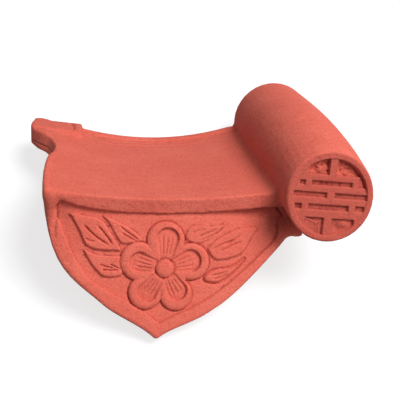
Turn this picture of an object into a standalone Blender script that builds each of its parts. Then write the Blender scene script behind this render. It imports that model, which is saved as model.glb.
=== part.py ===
"""Decorative eaves tile of fired red clay: a hollow pan, a round roll with a carved
roundel at its front, and a pointed drip apron with a flower and leaves in relief.

The tile is drawn in its own axes: X from the left edge to the roll, Y from the front
lip to the rear, Z up from the lowest line of the pan. At the end it is turned to lie
as it lies on the ground: on the apron's point, the pan and the roll's free edge.
"""
import math

import bmesh
import bpy
import numpy as np
from mathutils import Matrix, Vector

# Pan and shell
PAN_LENGTH = 0.181
PAN_WIDTH = 0.2053          # left edge to the roll's flank
PAN_RISE_FRONT = 0.0076     # rise at REACH from the lowest line, at the lip
PAN_RISE_REAR = 0.0174      # the same at the rear
REACH = 0.100
PLATE = 0.0143              # thickness of the pan
WALL = 0.013                # thickness of the roll
PAN_FILLET = 0.007          # hollow corner where pan and roll meet
EDGE_ROUND = 0.0012         # softened long edges

# Roll and roundel
ROLL_RADIUS = 0.0431
ROLL_HEIGHT = 0.0252        # centre of the roll above the pan
ROLL_BEND = 0.145           # in front of this the roll bows down to the roundel
ROLL_BOW = 2.6              # how late the bow sets in: 1 is a straight slope
DISC_RADIUS = 0.0405
DISC_HEIGHT = 0.0123
DISC_FORWARD = 0.0261       # roundel's centre in front of the lip
DISC_TILT = math.radians(12.0)
DISC_THICKNESS = 0.014
DISC_RIM = 0.0062
DISC_RECESS = 0.0032
DRUM_BACK = 0.024           # the full round ends here, behind the apron
FREE_EDGE_ANGLE = math.radians(-38.0)
BURIED_EDGE_ANGLE = math.radians(216.0)

# Lattice on the roundel
LATTICE_TURN = math.radians(-3.7)
BAR_WIDTH = 0.0056
BAR_PITCH = 0.0106
BAR_HEIGHT = 0.0026
POST_WIDTH = 0.0062
POST_SPREAD = 0.0217
STEM_WIDTH = 0.0070

# Drip apron
APRON_TILT = math.radians(26.0)
APRON_SETBACK = 0.0047      # the lip stands proud of the apron by this
APRON_DEPTH = 0.1110
APRON_THICKNESS = 0.0150
APRON_RIM_LEFT = 0.0121
APRON_RIM_RIGHT = 0.0077
APRON_RECESS = 0.0026
LIP_THINNING = 0.030        # over this length the lip grows from its thin left end

# Flower and leaves
FLOWER_DROP = 0.0507        # boss below the lip's underside
FLOWER_LEFT = 0.0019        # and left of the apron's middle
BOSS_RADIUS = 0.0079
BOSS_HEIGHT = 0.0042
PETALS = 5
PETAL_REACH = 0.0235
PETAL_RADIUS = 0.0163
PETAL_BEAD = 0.0035
INNER_RADIUS = 0.0107
RELIEF = 0.0030
LEAF_HEIGHT = 0.0032

# Rear rib, left border and lug
RIB_WIDTH = 0.0135
RIB_HEIGHT = 0.0036
BORDER_WIDTH = 0.0066
BORDER_HEIGHT = 0.0016
NOTCH_DEPTH = 0.0090
NOTCH_AT = 0.098
LUG_REACH = 0.0165
LUG_LENGTH = 0.031
LUG_ACROSS = 0.0530
LUG_THICKNESS = 0.0188
LUG_FALL = 0.0048

# Worked out from the sizes above
APRON_HALF = (PAN_WIDTH + 0.75 * WALL) / 2
AXIS_X = APRON_HALF
ROLL_X = PAN_WIDTH + ROLL_RADIUS
SINK = 0.0012               # how deep a raised form is rooted in its ground

UP = Vector((0, 0, 1))


def clear_scene():
    for old in list(bpy.data.objects):
        bpy.data.objects.remove(old, do_unlink=True)


def solid(name, points, faces):
    """A closed mesh object with its faces turned outward."""
    mesh = bpy.data.meshes.new(name)
    mesh.from_pydata([tuple(p) for p in points], [], faces)
    shape = bmesh.new()
    shape.from_mesh(mesh)
    bmesh.ops.remove_doubles(shape, verts=shape.verts, dist=1e-6)
    bmesh.ops.recalc_face_normals(shape, faces=shape.faces)
    shape.to_mesh(mesh)
    shape.free()
    made = bpy.data.objects.new(name, mesh)
    bpy.context.scene.collection.objects.link(made)
    return made


def loft(name, rings):
    """A solid through rings of equally many points, capped at both ends."""
    count = len(rings[0])
    points = [p for ring in rings for p in ring]
    faces = [list(range(count)), list(range(len(points) - count, len(points)))]
    for r in range(len(rings) - 1):
        low = r * count
        high = low + count
        for i in range(count):
            j = (i + 1) % count
            faces.append([low + i, low + j, high + j, high + i])
    return solid(name, points, faces)


def smooth_step(t):
    t = min(max(t, 0.0), 1.0)
    return t * t * (3 - 2 * t)


def pan_rise(y):
    """The pan is flatter at the lip than at the rear."""
    return PAN_RISE_FRONT + (PAN_RISE_REAR - PAN_RISE_FRONT) * y / PAN_LENGTH


def pan_top(x, y):
    """Height of the pan's upper face; level beyond the left edge, on the lug."""
    away = (max(x, 0.0) - AXIS_X) / REACH
    return pan_rise(y) * away * away


def left_edge(y):
    """The left edge runs straight, dips into a notch and comes out to the lug."""
    lug_start = PAN_LENGTH - LUG_LENGTH
    into = NOTCH_DEPTH * smooth_step((y - 0.6 * NOTCH_AT) / (0.4 * NOTCH_AT))
    out = (NOTCH_DEPTH + LUG_REACH) * smooth_step((y - NOTCH_AT) / (lug_start - NOTCH_AT))
    return into - out


def roll_station(y):
    """Centre height, radius and lean of the roll's section at a distance back."""
    near = min(max((ROLL_BEND - y) / (ROLL_BEND + DISC_FORWARD), 0.0), 1.0)
    bow = near ** ROLL_BOW
    height = ROLL_HEIGHT - (ROLL_HEIGHT - DISC_HEIGHT) * bow
    radius = ROLL_RADIUS - (ROLL_RADIUS - DISC_RADIUS) * bow
    return height, radius, DISC_TILT * near


def flank(y):
    """X of the roll's left flank."""
    return ROLL_X - roll_station(y)[1]


def roll_ring(y, thinner=0.0, around=36):
    height, radius, lean = roll_station(y)
    ring = []
    for i in range(around):
        a = 2 * math.pi * i / around
        up = (radius - thinner) * math.sin(a)
        side = (radius - thinner) * math.cos(a)
        ring.append((ROLL_X + side, y + up * math.sin(lean), height + up * math.cos(lean)))
    return ring


def disc_point(x, u, depth=0.0):
    """A point on the roundel: across, up its leaning face, and behind that face."""
    centre = Vector((ROLL_X, -DISC_FORWARD, DISC_HEIGHT))
    up = Vector((0, math.sin(DISC_TILT), math.cos(DISC_TILT)))
    out = Vector((0, -math.cos(DISC_TILT), math.sin(DISC_TILT)))
    return centre + Vector((x, 0, 0)) + up * u - out * depth


def disc_ring(radius, depth, around=36):
    turns = [2 * math.pi * i / around for i in range(around)]
    return [disc_point(radius * math.cos(a), radius * math.sin(a), depth) for a in turns]


def bow_stations(steps=7):
    """Distances back of the roll's sections, closer where it bows."""
    start = DISC_FORWARD / 4 - DISC_FORWARD
    stations = [start + (ROLL_BEND - start) * i / steps for i in range(steps + 1)]
    return stations + [PAN_LENGTH]


def roll_and_drum():
    """The roll as a full round bar, with the roundel's rim and sunk ground in front."""
    inner = DISC_RADIUS - DISC_RIM
    rings = [disc_ring(inner - DISC_RECESS / 4, DISC_RECESS), disc_ring(inner, 0.0),
             disc_ring(DISC_RADIUS - EDGE_ROUND, 0.0)]
    rings.append(roll_ring(EDGE_ROUND - DISC_FORWARD))
    rings += [roll_ring(y) for y in bow_stations()]
    return loft("roll", rings)


def roll_hollow():
    """The space under the roll, up to the back of the roundel."""
    front = disc_ring(DISC_RADIUS - WALL, DISC_THICKNESS)
    rings = [front] + [roll_ring(y, WALL) for y in bow_stations()[1:]]
    rings.append(roll_ring(PAN_LENGTH + WALL, WALL))
    return loft("roll hollow", rings)


def open_underside():
    """Takes away the lower part of the round, behind the drum."""
    far = 2 * ROLL_RADIUS
    rings = []
    for y in (DRUM_BACK, (DRUM_BACK + ROLL_BEND) / 2, ROLL_BEND, PAN_LENGTH + WALL):
        height = roll_station(y)[0]
        ring = [(ROLL_X, y, height)]
        for angle in (FREE_EDGE_ANGLE, math.radians(-90), BURIED_EDGE_ANGLE):
            stretch = far / max(abs(math.sin(angle)), 0.5)
            ring.append((ROLL_X + stretch * math.cos(angle), y, height + stretch * math.sin(angle)))
        rings.append(ring)
    return loft("open underside", rings)


def pan_section(y, across=26, corner=6):
    """Outline of the pan plate at one distance back: upper face, then underside."""
    left = left_edge(y)
    bend = flank(y) - PAN_FILLET
    upper = [left + EDGE_ROUND + (bend - left - EDGE_ROUND) * i / across for i in range(across + 1)]
    ring = [(left, y, pan_top(left, y) - EDGE_ROUND)]
    ring += [(x, y, pan_top(x, y)) for x in upper]
    start = pan_top(bend, y)
    for i in range(1, corner + 1):
        a = math.pi / 2 * i / corner
        ring.append((bend + PAN_FILLET * math.sin(a), y, start + PAN_FILLET * (1 - math.cos(a))))
    buried = flank(y) + WALL / 2
    ring.append((buried, y, start + PAN_FILLET))
    lower = [buried + (left + EDGE_ROUND - buried) * i / across for i in range(across + 1)]
    ring += [(x, y, pan_top(min(x, bend), y) - PLATE) for x in lower]
    ring.append((left, y, pan_top(left, y) - PLATE + EDGE_ROUND))
    return ring


def pan():
    lug_start = PAN_LENGTH - LUG_LENGTH
    stations = [0.0, NOTCH_AT / 3, 0.6 * NOTCH_AT, 0.8 * NOTCH_AT, NOTCH_AT]
    stations += [NOTCH_AT + (lug_start - NOTCH_AT) * t for t in (0.25, 0.5, 0.75, 1.0)]
    stations += [lug_start + LUG_LENGTH / 2, PAN_LENGTH]
    return loft("pan", [pan_section(y) for y in stations])


def left_border(steps=7):
    """The softly raised band along the left edge, from the lip to the notch."""
    rings = []
    for y in (0.0, NOTCH_AT / 3, 0.6 * NOTCH_AT, 0.8 * NOTCH_AT, NOTCH_AT):
        left = left_edge(y)
        fade = 1 - smooth_step((y - 0.6 * NOTCH_AT) / (0.4 * NOTCH_AT))
        ring = []
        for i in range(steps + 1):
            x = left + BORDER_WIDTH * i / steps
            swell = math.sin(math.pi * i / steps) ** 0.5 if 0 < i < steps else 0.0
            ring.append((x, y, pan_top(x, y) + (BORDER_HEIGHT * fade + SINK / 2) * swell - SINK / 2))
        ring += [(left + BORDER_WIDTH, y, pan_top(left, y) - PLATE / 2),
                 (left, y, pan_top(left, y) - PLATE / 2)]
        rings.append(ring)
    return loft("left border", rings)


def rear_rib(steps=14, arc=6):
    """The rounded rib that stops rain along the rear edge."""
    start = LUG_ACROSS - LUG_REACH - WALL
    end = flank(PAN_LENGTH) + WALL / 2
    rings = []
    for i in range(steps + 1):
        x = start + (end - start) * i / steps
        base = pan_top(min(x, flank(PAN_LENGTH)), PAN_LENGTH)
        ring = [(x, PAN_LENGTH - RIB_WIDTH, base - PLATE / 2)]
        for k in range(arc + 1):
            a = math.pi * (1 - 0.72 * k / arc)
            ring.append((x, PAN_LENGTH - RIB_WIDTH * 0.55 + RIB_WIDTH * 0.45 * math.cos(a),
                         base + RIB_HEIGHT * math.sin(a)))
        ring.append((x, PAN_LENGTH, base + RIB_HEIGHT / 3))
        ring.append((x, PAN_LENGTH, base - PLATE / 2))
        rings.append(ring)
    return loft("rear rib", rings)


def lug():
    """The block at the left rear corner that the next tile hooks on."""
    left = -LUG_REACH
    right = left + LUG_ACROSS
    top = pan_top(0.0, PAN_LENGTH) + RIB_HEIGHT / 8
    under = top - LUG_THICKNESS
    root = pan_top(right, PAN_LENGTH) - PLATE / 2
    profile = [(left, under), (left, top - EDGE_ROUND), (left + EDGE_ROUND, top),
               (right - EDGE_ROUND, top - LUG_FALL), (right, top - LUG_FALL - EDGE_ROUND),
               (right, root), (0.0, under)]
    rings = []
    for y in (PAN_LENGTH - LUG_LENGTH, PAN_LENGTH):
        rings.append([(x, y, z) for x, z in profile])
    return loft("lug", rings)


def lug_web():
    """Thickens the edge of the notch, down to the lug's underside."""
    lug_start = PAN_LENGTH - LUG_LENGTH
    rings = []
    for t in (0.08, 0.29, 0.54, 0.77, 1.06):
        y = NOTCH_AT + (lug_start - NOTCH_AT) * t
        left = left_edge(y) + EDGE_ROUND / 3
        top = pan_top(left, y) - PLATE / 3
        low = pan_top(left, y) - LUG_THICKNESS
        right = left + LUG_REACH
        rings.append([(left, y, low + EDGE_ROUND), (left, y, top), (right, y, top),
                      (right, y, pan_top(right, y) - PLATE * 0.8), (left + LUG_REACH / 3, y, low)])
    return loft("lug web", rings)


def apron_point(x, v, out=0.0):
    """A point on the apron: across, up from the lip's underside, and out of its face."""
    base = Vector((x, APRON_SETBACK, -PLATE))
    up = Vector((0, math.sin(APRON_TILT), math.cos(APRON_TILT)))
    front = Vector((0, -math.cos(APRON_TILT), math.sin(APRON_TILT)))
    return base + up * v + front * out


def bezier(ends, steps):
    a, b, c, d = [np.array(p) for p in ends]
    ts = np.linspace(0, 1, steps, endpoint=False)[:, None]
    return a * (1 - ts) ** 3 + 3 * b * ts * (1 - ts) ** 2 + 3 * c * ts * ts * (1 - ts) + d * ts ** 3


def ogee(steps=10):
    """The apron's lower outline from the left edge, round the point, to the drum.

    Each control point is a share of the apron's half width, to the right of its
    middle, and of its depth. The hand-cut point stands a little to the left."""
    curves = [[(-1.002, 0.170), (-0.943, -0.478), (-0.777, -0.503), (-0.485, -0.756)],
              [(-0.485, -0.756), (-0.384, -0.832), (-0.208, -0.905), (-0.112, -0.991)],
              [(-0.112, -0.991), (-0.093, -1.018), (-0.064, -1.020), (-0.044, -0.991)],
              [(-0.044, -0.991), (0.058, -0.926), (0.265, -0.884), (0.405, -0.787)],
              [(0.405, -0.787), (0.574, -0.696), (0.790, -0.494), (1.188, -0.070)]]
    counts = [steps, steps, 3, steps, steps]
    shares = np.vstack([bezier(c, n) for c, n in zip(curves, counts)] + [[curves[-1][-1]]])
    return np.column_stack([AXIS_X + shares[:, 0] * APRON_HALF, shares[:, 1] * APRON_DEPTH])


def field_line():
    """The rim's inner edge: the outline moved inward by the rim's width."""
    line = ogee()
    share = np.linspace(0, 1, len(line))[:, None]
    run = np.gradient(line, axis=0)
    run /= np.linalg.norm(run, axis=1)[:, None]
    width = APRON_RIM_LEFT + (APRON_RIM_RIGHT - APRON_RIM_LEFT) * share
    moved = line + width * np.column_stack([-run[:, 1], run[:, 0]])
    tip = int(np.argmin(line[:, 1]))
    middle = line[tip, 0]
    left = [tuple(p) for p in moved[:tip] if p[0] < middle - EDGE_ROUND and p[1] < lip_under(p[0])]
    right = [tuple(p) for p in moved[tip:] if middle + EDGE_ROUND < p[0] < PAN_WIDTH]
    point = (middle, min(left[-1][1], right[0][1]) - EDGE_ROUND / 2)
    a, b = right[-2:]
    end = PAN_WIDTH + EDGE_ROUND
    return left + [point] + right + [(end, b[1] + (b[1] - a[1]) * (end - b[0]) / (b[0] - a[0]))]


def lip_under(x):
    """Height of the lip's lower edge: the lip is thin at its left end."""
    thick = PLATE * (1 - 0.75 * math.exp(-max(x, 0.0) / LIP_THINNING))
    return (pan_top(min(x, flank(0.0)), 0.0) - thick + PLATE) / math.cos(APRON_TILT)


def apron():
    """The apron plate, rooted along the middle of the pan's thickness and in the drum."""
    line = [tuple(p) for p in ogee()]
    xs = np.linspace(flank(0.0), line[0][0], 16)[:-1]
    root = [(x, (pan_top(x, 0.0) + PLATE / 2) / math.cos(APRON_TILT)) for x in xs]
    joint = [(ROLL_X - ROLL_RADIUS / 2, 0.0), (ROLL_X - 0.68 * ROLL_RADIUS, PLATE)]
    outline = line + joint + root
    return loft("apron", [[apron_point(x, v, out) for x, v in outline] for out in (-APRON_THICKNESS, 0.0)])


def field_cutter():
    """Sinks the apron's field behind its rim, up to the lip's lower edge."""
    line = field_line()
    xs = np.linspace(line[-1][0], line[0][0], 14)
    rings = []
    for out in (-APRON_RECESS, 3 * APRON_SETBACK):
        fall = (out + APRON_RECESS) * math.tan(APRON_TILT)
        tops = [(x, lip_under(x) - fall) for x in xs]
        sides = [(x, min(v, lip_under(x) - fall - EDGE_ROUND / 4)) for x, v in line]
        rings.append([apron_point(x, v, out) for x, v in sides + tops])
    return loft("field", rings)


def corner_cheek():
    """At the left the apron's rim comes forward over the end of the lip."""
    wide = APRON_RIM_LEFT - 2 * EDGE_ROUND
    side = ogee()[:10]
    back = APRON_SETBACK + APRON_THICKNESS / 2
    top = pan_top(0.0, 0.0) - EDGE_ROUND
    low = -0.16 * APRON_DEPTH
    sunk = APRON_SETBACK + low * math.tan(APRON_TILT) + SINK
    rings = []
    for z, front in ((low - PLATE, sunk), (-1.2 * PLATE, APRON_SETBACK / 3), (-PLATE / 2, APRON_SETBACK / 5),
                     (top, EDGE_ROUND / 4)):
        v = (z + PLATE) / math.cos(APRON_TILT)
        edge = np.interp(-v, -side[:, 1], side[:, 0]) + EDGE_ROUND
        corners = [(edge, back), (edge, front + 2 * EDGE_ROUND), (edge + 2 * EDGE_ROUND, front),
                   (edge + wide - 2 * EDGE_ROUND, front), (edge + wide, front + 2 * EDGE_ROUND),
                   (edge + wide, back)]
        rings.append([(x, y, z) for x, y in corners])
    return loft("corner cheek", rings)


def raised(name, outline, ground, height, place, draft=0.0009):
    """A raised form: an outline rooted in its ground, with sloping sides."""
    line = np.array(outline)
    run = np.roll(line, -1, axis=0) - np.roll(line, 1, axis=0)
    run /= np.linalg.norm(run, axis=1)[:, None]
    turn = np.sum(line[:, 0] * np.roll(line[:, 1], -1) - np.roll(line[:, 0], -1) * line[:, 1])
    inward = np.column_stack([-run[:, 1], run[:, 0]]) * (1 if turn > 0 else -1)
    top = line + inward * draft
    rings = [[place(x, v, ground - SINK) for x, v in line],
             [place(x, v, ground + height) for x, v in top]]
    return loft(name, rings)


def arc_band(centre, radius, width, start, end, steps=12):
    """Outline of a curved band, as a list of points."""
    angles = np.linspace(start, end, steps + 1)
    outer = [(centre[0] + radius * math.cos(a), centre[1] + radius * math.sin(a)) for a in angles]
    inner = [(centre[0] + (radius - width) * math.cos(a), centre[1] + (radius - width) * math.sin(a))
             for a in angles[::-1]]
    return outer + inner


def lobe_reach(turn, radius):
    """Distance from the flower's heart to the outermost petal circle in one direction."""
    off = (turn - math.pi / 2 + math.pi / PETALS) % (2 * math.pi / PETALS) - math.pi / PETALS
    side = PETAL_REACH * math.sin(off)
    return PETAL_REACH * math.cos(off) + math.sqrt(max(radius ** 2 - side ** 2, 0.0))


def lobed_ring(heart, steps=80):
    """One bead that follows the outer edge of all petals."""
    inner = PETAL_RADIUS - PETAL_BEAD
    corners = ((PETAL_RADIUS, -SINK), (PETAL_RADIUS - PETAL_BEAD / 4, RELIEF),
               (inner + PETAL_BEAD / 4, RELIEF), (inner, -SINK))
    points = []
    for i in range(steps):
        turn = math.pi / 2 + 2 * math.pi * i / steps
        for radius, height in corners:
            far = lobe_reach(turn, radius)
            points.append(apron_point(heart[0] + far * math.cos(turn), heart[1] + far * math.sin(turn),
                                      height - APRON_RECESS))
    count = len(corners)
    faces = []
    for i in range(steps):
        here = i * count
        there = (i + 1) % steps * count
        for k in range(count):
            n = (k + 1) % count
            faces.append([here + k, here + n, there + n, there + k])
    return solid("petal bead", points, faces)


def flower():
    """Five round petals with one outer bead, an inner lip each and fine ribs."""
    heart = (AXIS_X - FLOWER_LEFT, -FLOWER_DROP)
    forms = [lobed_ring(heart)]
    for i in range(PETALS):
        way = math.pi / 2 + 2 * math.pi * i / PETALS
        along = np.array([math.cos(way), math.sin(way)])
        across = np.array([-along[1], along[0]])
        middle = np.array(heart) + PETAL_REACH * along
        spread = math.radians(125)
        forms.append(raised("petal lip", arc_band(middle, INNER_RADIUS, PETAL_BEAD * 0.8,
                                                  way - spread, way + spread),
                            -APRON_RECESS, RELIEF * 0.9, apron_point, 0.0007))
        for k in (-1, 0, 1):
            root = np.array(heart) + (BOSS_RADIUS * 1.2) * along + across * k * BOSS_RADIUS * 0.25
            end = middle + along * INNER_RADIUS * 0.30 + across * k * INNER_RADIUS * 0.42
            half = across * PETAL_BEAD * 0.2
            forms.append(raised("petal rib", [root - half, end - half, end + half, root + half],
                                -APRON_RECESS, RELIEF * 0.55, apron_point, 0.0003))
    rings = []
    for k in range(1, 5):
        a = math.pi / 2 * k / 5
        rings.append([apron_point(heart[0] + BOSS_RADIUS * math.cos(a) * math.cos(t),
                                  heart[1] + BOSS_RADIUS * math.cos(a) * math.sin(t),
                                  BOSS_HEIGHT * math.sin(a) - APRON_RECESS)
                      for t in np.linspace(0, 2 * math.pi, 16, endpoint=False)])
    below = [apron_point(heart[0] + BOSS_RADIUS * math.cos(t), heart[1] + BOSS_RADIUS * math.sin(t),
                         -APRON_RECESS - SINK) for t in np.linspace(0, 2 * math.pi, 16, endpoint=False)]
    forms.append(loft("boss", [below] + rings))
    return forms


def leaf(base, tip, width, bow, lobes=0.0, steps=8):
    """A pointed leaf with a ridge along its middle, bowed to one side."""
    base = np.array(base)
    tip = np.array(tip)
    along = tip - base
    side = np.array([-along[1], along[0]]) / np.linalg.norm(along)
    ts = np.linspace(0, 1, steps + 1)
    spine = [base + along * t + side * bow * 4 * t * (1 - t) for t in ts]
    half = [width * (math.sin(math.pi * (0.06 + 0.94 * t) ** 0.85) + lobes * abs(math.sin(3 * math.pi * t)))
            for t in ts]
    left = [spine[i] + side * half[i] for i in range(1, steps)]
    right = [spine[i] - side * half[i] for i in range(1, steps)]
    points = []
    for level, lift in ((-SINK, 0.0), (LEAF_HEIGHT * 0.45, 0.0)):
        for p in [spine[0]] + left + [spine[-1]] + right[::-1]:
            points.append(apron_point(p[0], p[1], level - APRON_RECESS))
    ridge = len(points)
    for i in range(1, steps):
        lift = LEAF_HEIGHT * (0.75 + 0.25 * math.sin(math.pi * ts[i]))
        points.append(apron_point(spine[i][0], spine[i][1], lift - APRON_RECESS))
    count = 2 * steps
    faces = [list(range(count))]
    faces += [[i, (i + 1) % count, count + (i + 1) % count, count + i] for i in range(count)]
    for i in range(1, steps - 1):
        faces.append([count + i, count + i + 1, ridge + i, ridge + i - 1])
        other = 2 * count - i
        faces.append([other, other - 1, ridge + i, ridge + i - 1])
    faces.append([count, count + 1, ridge])
    faces.append([count, 2 * count - 1, ridge])
    faces.append([count + steps - 1, count + steps, ridge + steps - 2])
    faces.append([count + steps, count + steps + 1, ridge + steps - 2])
    return solid("leaf", points, faces)


def leaves():
    """Three leaves on each side of the flower.

    A leaf grows out of the flower's bead in one direction, in degrees; its tip, width
    and bow are shares of the apron's half width, and the tip's height of its depth."""
    sprays = [(127, (0.55, -0.02), 0.060, 0.020),
              (160, (0.79, -0.01), 0.085, -0.040),
              (186, (0.68, -0.29), 0.075, -0.030),
              (58, (-0.49, -0.09), 0.060, 0.010),
              (20, (-0.79, -0.14), 0.085, 0.025),
              (-16, (-0.67, -0.37), 0.070, 0.025)]
    made = []
    for degrees, tip, width, bow in sprays:
        turn = math.radians(degrees)
        far = lobe_reach(turn, PETAL_RADIUS - PETAL_BEAD / 2)
        base = (AXIS_X - FLOWER_LEFT + far * math.cos(turn), far * math.sin(turn) - FLOWER_DROP)
        end = (AXIS_X - tip[0] * APRON_HALF, tip[1] * APRON_DEPTH)
        made.append(leaf(base, end, width * APRON_HALF, bow * APRON_HALF, 0.12))
    return made


def lattice():
    """The roundel's lattice: four bars, short posts between them and two stems."""
    inner = DISC_RADIUS - DISC_RIM
    turn = Matrix.Rotation(LATTICE_TURN, 2)

    def bar(x_mid, u_mid, wide, tall, height=BAR_HEIGHT):
        corners = [(-1, -1), (1, -1), (1, 1), (-1, 1)]
        outline = []
        for sx, su in corners:
            p = turn @ Vector((x_mid + sx * wide / 2, u_mid + su * tall / 2))
            outline.append((p.x, p.y))
        return raised("lattice bar", outline, -DISC_RECESS, height,
                      lambda x, u, h: disc_point(x, u, -h), 0.0006)

    forms = []
    rows = [(k - 1.5) * BAR_PITCH for k in range(4)]
    short = 2 * POST_SPREAD
    for row in rows:
        reach = inner + DISC_RIM / 2
        full = 2 * math.sqrt(reach ** 2 - (abs(row) + BAR_WIDTH / 2) ** 2)
        wide = full if abs(row) < BAR_PITCH else short + POST_WIDTH
        forms.append(bar(0.0, row, wide, BAR_WIDTH))
    gap = BAR_PITCH
    lower = BAR_HEIGHT * 0.92
    forms.append(bar(0.0, 0.0, STEM_WIDTH, gap, lower))
    for sign in (-1, 1):
        for side in (-1, 1):
            forms.append(bar(side * POST_SPREAD, sign * BAR_PITCH, POST_WIDTH, gap, lower))
        start = 1.5 * BAR_PITCH
        end = inner + DISC_RIM / 2
        forms.append(bar(0.0, sign * (start + end) / 2, STEM_WIDTH, end - start, lower))
    return forms


def combine(base, others, operation):
    """Joins or cuts with the exact solver and keeps one mesh."""
    for other in others:
        step = base.modifiers.new(operation.lower(), "BOOLEAN")
        step.operation = operation
        step.solver = "EXACT"
        step.object = other
    bpy.context.view_layer.update()
    graph = bpy.context.evaluated_depsgraph_get()
    result = bpy.data.meshes.new_from_object(base.evaluated_get(graph))
    base.modifiers.clear()
    base.data = result
    for other in others:
        bpy.data.objects.remove(other, do_unlink=True)
    return base


def clay():
    """Matte orange-red fired clay."""
    material = bpy.data.materials.new("fired clay")
    material.use_nodes = True
    shader = material.node_tree.nodes["Principled BSDF"]
    shader.inputs["Base Color"].default_value = (0.47, 0.13, 0.065, 1.0)
    shader.inputs["Roughness"].default_value = 0.85
    shader.inputs["Metallic"].default_value = 0.0
    return material


def ground_supports():
    """The three points that the tile lies on, in its own axes."""
    point = min(ogee(), key=lambda p: p[1])
    foot = apron_point(point[0], point[1], -APRON_THICKNESS)
    height, radius = roll_station(PAN_LENGTH)[:2]
    free = Vector((ROLL_X + radius * math.cos(FREE_EDGE_ANGLE), PAN_LENGTH,
                   height + radius * math.sin(FREE_EDGE_ANGLE)))
    under = [Vector(p) for p in pan_section(PAN_LENGTH) if p[2] < pan_top(p[0], PAN_LENGTH)]
    pan_foot = max((p for p in under if p.x < flank(PAN_LENGTH)),
                   key=lambda p: (free.z - p.z) / (free.x - p.x))
    return foot, pan_foot, free


def settle(tile):
    """Turns the tile to lie on its three supports, centred over the origin."""
    front, middle, right = ground_supports()
    normal = (right - front).cross(middle - front).normalized()
    if normal.z < 0:
        normal.negate()
    turn = normal.rotation_difference(UP).to_matrix().to_4x4()
    forward = turn @ Vector((1, 0, 0))
    level = Matrix.Rotation(-math.atan2(forward.y, forward.x), 4, "Z")
    turn = level @ turn
    tile.data.transform(turn)
    places = np.array([v.co for v in tile.data.vertices])
    low = places.min(axis=0)
    high = places.max(axis=0)
    shift = Matrix.Translation((-(low[0] + high[0]) / 2, -(low[1] + high[1]) / 2, -low[2]))
    tile.data.transform(shift)


def build():
    clear_scene()
    tile = pan()
    shell = [roll_and_drum(), rear_rib(), left_border(), lug(), lug_web(), apron()]
    combine(tile, shell, "UNION")
    combine(tile, [field_cutter()], "DIFFERENCE")
    combine(tile, [corner_cheek()], "UNION")
    combine(tile, [roll_hollow(), open_underside()], "DIFFERENCE")
    combine(tile, flower() + leaves() + lattice(), "UNION")
    tile.name = "tile"
    tile.data.name = "tile"
    tile.data.materials.clear()
    tile.data.materials.append(clay())
    settle(tile)
    tile.data.shade_smooth()
    tile.data.set_sharp_from_angle(angle=math.radians(30))


build()
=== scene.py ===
# %% [markdown]
# The object is one piece of fired clay: a roof tile for the edge of a Chinese roof. A shallow pan
# carries the water, a hollow roll covers the joint with the next tile, a roundel closes the roll,
# and a pointed apron hangs down at the front to throw the drips clear. The solid model already
# holds these big forms. This script keeps them and gives the clay what a solid model leaves out:
# soft edges, the modelled flower and leaves, the pierced look of the roundel, a seam and other
# marks, and the grain of the clay.

# %% Load the solid model
import math

import bmesh
import bpy
import numpy as np
from mathutils import Matrix, Vector


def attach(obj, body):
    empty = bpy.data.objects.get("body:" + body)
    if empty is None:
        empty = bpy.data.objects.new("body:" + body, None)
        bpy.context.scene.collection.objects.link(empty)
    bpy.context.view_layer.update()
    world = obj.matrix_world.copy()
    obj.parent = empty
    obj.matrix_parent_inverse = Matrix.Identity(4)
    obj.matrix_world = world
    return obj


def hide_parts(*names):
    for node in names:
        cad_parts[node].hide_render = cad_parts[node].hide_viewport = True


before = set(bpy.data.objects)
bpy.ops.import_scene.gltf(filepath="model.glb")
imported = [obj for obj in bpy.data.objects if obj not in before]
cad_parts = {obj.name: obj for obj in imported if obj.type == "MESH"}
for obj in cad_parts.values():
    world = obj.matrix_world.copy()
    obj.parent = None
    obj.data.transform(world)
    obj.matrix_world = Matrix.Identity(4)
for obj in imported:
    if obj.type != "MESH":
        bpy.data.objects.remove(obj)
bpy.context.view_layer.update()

# %% [markdown]
# The tile lies tipped on the ground, on the point of its apron, its pan and its roll. Relief is
# much easier to describe in the tile's own axes, with x to the right across the pan, y to the
# rear and z up out of it. So the work is done there, and the finished mesh is turned back at the
# end. Shapes are worked out in millimetres. The two angles and the corner are those that the
# solid model was laid down with.

# %% The tile's own axes
PITCH = math.radians(-26.543)
LEAN = math.radians(4.054)
CORNER = Vector((-0.13407, -0.05064, 0.10184))
MM = 0.001

to_ground = Matrix.Translation(CORNER) @ Matrix.Rotation(LEAN, 4, "Y") @ Matrix.Rotation(PITCH, 4, "X")
to_tile = to_ground.inverted()
print("the pan falls to the rear by", round(-math.degrees(PITCH), 1), "degrees")

# %% [markdown]
# The camera stands where the outline in the photo puts the photographer: in front of the tile, a
# little to the left and well above it, and tilted a few degrees about its own line of sight. A
# long focal length keeps the roundel nearly round.

# %% Camera
CAMERA_PLACE = Vector((-0.07889, -0.45681, 0.55531))
CAMERA_HEADING = math.radians(11.381)
CAMERA_DROP = math.radians(48.294)
CAMERA_ROLL = math.radians(6.086)
FOCAL_LENGTH_MM = 62.84
SENSOR_MM = 36

lens = bpy.data.cameras.new("camera")
lens.lens = FOCAL_LENGTH_MM
lens.sensor_width = SENSOR_MM
lens.sensor_fit = "AUTO"
camera = bpy.data.objects.new("camera", lens)
bpy.context.scene.collection.objects.link(camera)
aim = Matrix.Rotation(-CAMERA_HEADING, 4, "Z") @ Matrix.Rotation(math.pi / 2 - CAMERA_DROP, 4, "X")
camera.matrix_world = Matrix.Translation(CAMERA_PLACE) @ aim @ Matrix.Rotation(CAMERA_ROLL, 4, "Z")
bpy.context.scene.camera = camera
print("camera height above the floor:", round(CAMERA_PLACE.z, 3))

# %% [markdown]
# The work starts on a copy of the solid's mesh, turned into the tile's own axes. Modifiers do the
# heavy steps later on. Each is applied at once, so that the next step starts from a plain mesh.

# %% A copy of the solid


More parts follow.
